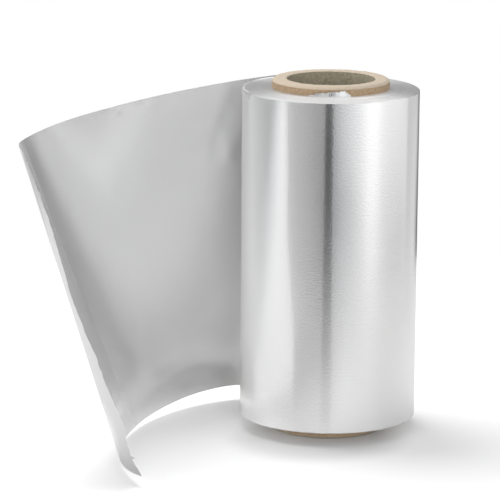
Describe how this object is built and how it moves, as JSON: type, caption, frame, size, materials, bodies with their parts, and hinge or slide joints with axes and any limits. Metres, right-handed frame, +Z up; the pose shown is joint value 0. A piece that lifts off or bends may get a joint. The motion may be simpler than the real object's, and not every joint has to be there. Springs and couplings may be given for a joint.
{
  "type": "aluminium foil roll",
  "caption": "Roll of aluminium foil wound on a cardboard core, standing on end, with its free end peeled off, flared and torn.",
  "frame": {"origin": "centre of the core's lower end, on the core's axis", "axes": "+Z up the core's axis, -Y towards the front, so that the free end flares out on the -X side"},
  "size_m": [0.1383, 0.1239, 0.1288],
  "materials": {
    "kraft_cardboard": "matt kraft board, wound in plies, with pale cut ends",
    "aluminium_foil": "mill-finish foil: satin outside, matt inside, with fine rolling lines along the strip"
  },
  "bodies": {
    "root": {"cardboard_core": "kraft_cardboard", "foil": "aluminium_foil"}
  },
  "joints": []
}
